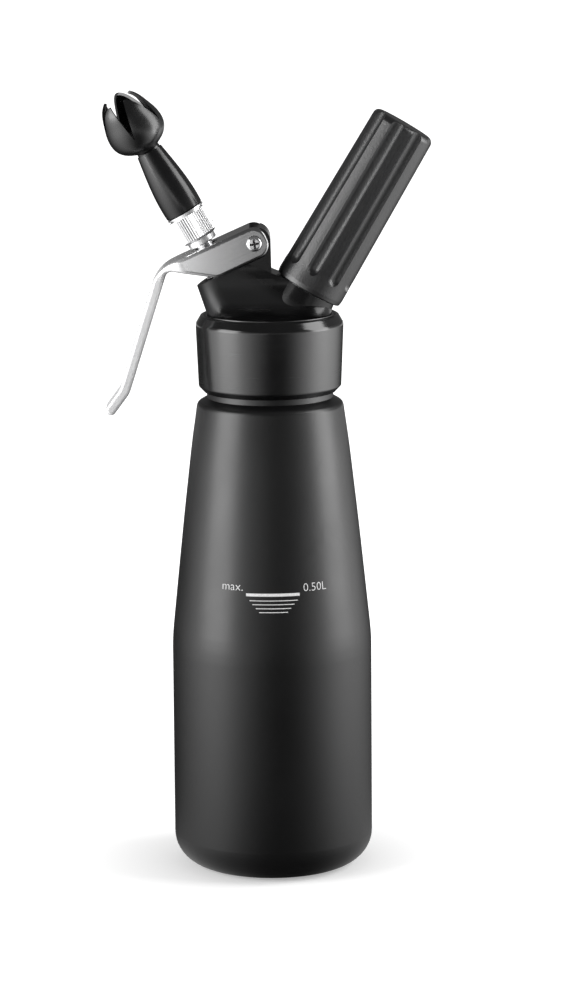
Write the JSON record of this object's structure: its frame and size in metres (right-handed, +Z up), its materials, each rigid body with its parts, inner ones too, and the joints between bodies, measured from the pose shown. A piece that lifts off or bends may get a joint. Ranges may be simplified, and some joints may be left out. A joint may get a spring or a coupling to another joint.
{
  "type": "whipped cream dispenser",
  "caption": "Whipped cream dispenser: black waisted bottle, screw-on head with squeeze lever and sliding valve, leaning tulip nozzle and fluted gas charger holder.",
  "frame": {"origin": "centre of the bottle's foot, on the plane that it stands on", "axes": "+Z up along the bottle's axis; the nozzle and the lever lean to -X, the charger holder to +X"},
  "size_m": [0.1287, 0.0794, 0.3108],
  "materials": {
    "bottle_coat": "matte black powder coat",
    "collar_coat": "satin black, turned",
    "casting_coat": "satin black coat on a casting",
    "lever_steel": "brushed cheeks, polished handle",
    "bright_plate": "polished nickel plate",
    "stem_steel": "ground and polished",
    "spring_steel": "drawn wire",
    "turned_brass": "turned",
    "seal_rubber": "moulded silicone",
    "nozzle_plastic": "glossy, moulded",
    "holder_anodised": "blasted, anthracite anodised",
    "charger_steel": "zinc plated, drawn"
  },
  "bodies": {
    "bottle": {"bottle": "bottle_coat"},
    "gasket": {"head_gasket": "seal_rubber"},
    "head": {"head_casting": "casting_coat", "head_collar": "collar_coat", "pivot_screw": "bright_plate", "pivot_nut": "bright_plate", "gland_bush": "turned_brass", "stem_o_ring": "seal_rubber", "valve_spring": "spring_steel", "piercing_pin": "turned_brass", "pin_seal": "seal_rubber", "gas_check_valve": "seal_rubber"},
    "lever": {"lever": "lever_steel"},
    "valve": {"valve_stem": "stem_steel", "spring_cap": "bright_plate", "valve_seal": "seal_rubber", "seal_nut": "turned_brass"},
    "adapter": {"nozzle_adapter": "bright_plate", "adapter_washer": "seal_rubber"},
    "nozzle": {"nozzle_cone": "nozzle_plastic", "tulip_crown": "nozzle_plastic"},
    "charger": {"charger": "charger_steel"},
    "holder": {"charger_holder": "holder_anodised"}
  },
  "joints": [
    {"name": "head_lift", "type": "slide", "parent": "bottle", "child": "gasket", "axis": [0, 0, 1], "range_m": [0, 0.07]},
    {"name": "head_turn", "type": "hinge", "parent": "gasket", "child": "head", "pos_m": [0, 0, 0.2], "axis": [0, 0, 1], "continuous": true},
    {"name": "lever_squeeze", "type": "hinge", "parent": "head", "child": "lever", "pos_m": [-0.00567, 0, 0.25122], "axis": [0, -1, 0], "range_deg": [0, 9], "stiffness_Nm_per_rad": 1.25, "springref_deg": -9.74, "deforming": ["valve_spring"]},
    {"name": "valve_slide", "type": "slide", "parent": "head", "child": "valve", "axis": [0.5, 0, -0.866], "range_m": [0, 0.0028]},
    {"name": "adapter_turn", "type": "hinge", "parent": "valve", "child": "adapter", "pos_m": [-0.03, 0, 0.25796], "axis": [-0.5, 0, 0.866], "continuous": true},
    {"name": "nozzle_lift", "type": "slide", "parent": "adapter", "child": "nozzle", "axis": [-0.5, 0, 0.866], "range_m": [0, 0.03]},
    {"name": "charger_lift", "type": "slide", "parent": "head", "child": "charger", "axis": [0.5075, 0, 0.8616], "range_m": [0, 0.08]},
    {"name": "holder_turn", "type": "hinge", "parent": "charger", "child": "holder", "pos_m": [0.03045, 0, 0.2577], "axis": [0.5075, 0, 0.8616], "continuous": true}
  ],
  "couplings": [
    {"joint": "valve_slide", "follows": "lever_squeeze", "m_per_rad": 0.0177}
  ]
}
